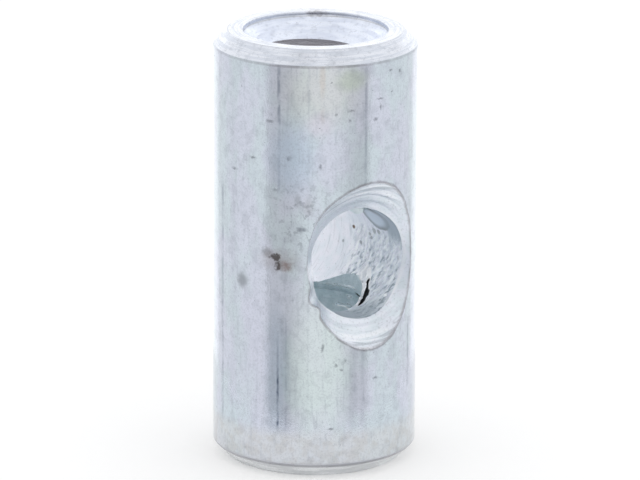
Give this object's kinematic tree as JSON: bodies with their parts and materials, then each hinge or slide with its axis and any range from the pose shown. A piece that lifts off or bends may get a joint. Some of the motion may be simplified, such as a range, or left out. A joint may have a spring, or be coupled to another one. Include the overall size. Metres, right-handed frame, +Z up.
{
  "type": "cross dowel nut",
  "caption": "Zinc-plated steel cross dowel nut: a chamfered round pin tapped along its axis from a countersunk end, with a countersunk cross bore through the middle.",
  "frame": {"origin": "centre of the bottom face, on the axis of the pin", "axes": "+Z up along the axis of the pin towards the tapped end; the countersunk mouth of the cross bore faces -Y"},
  "size_m": [0.014, 0.014, 0.03],
  "materials": {
    "zinc_plate": "pale zinc plate over turned steel, satin, with fine pits and a few rust specks"
  },
  "bodies": {
    "root": {"dowel_nut": "zinc_plate"}
  },
  "joints": []
}
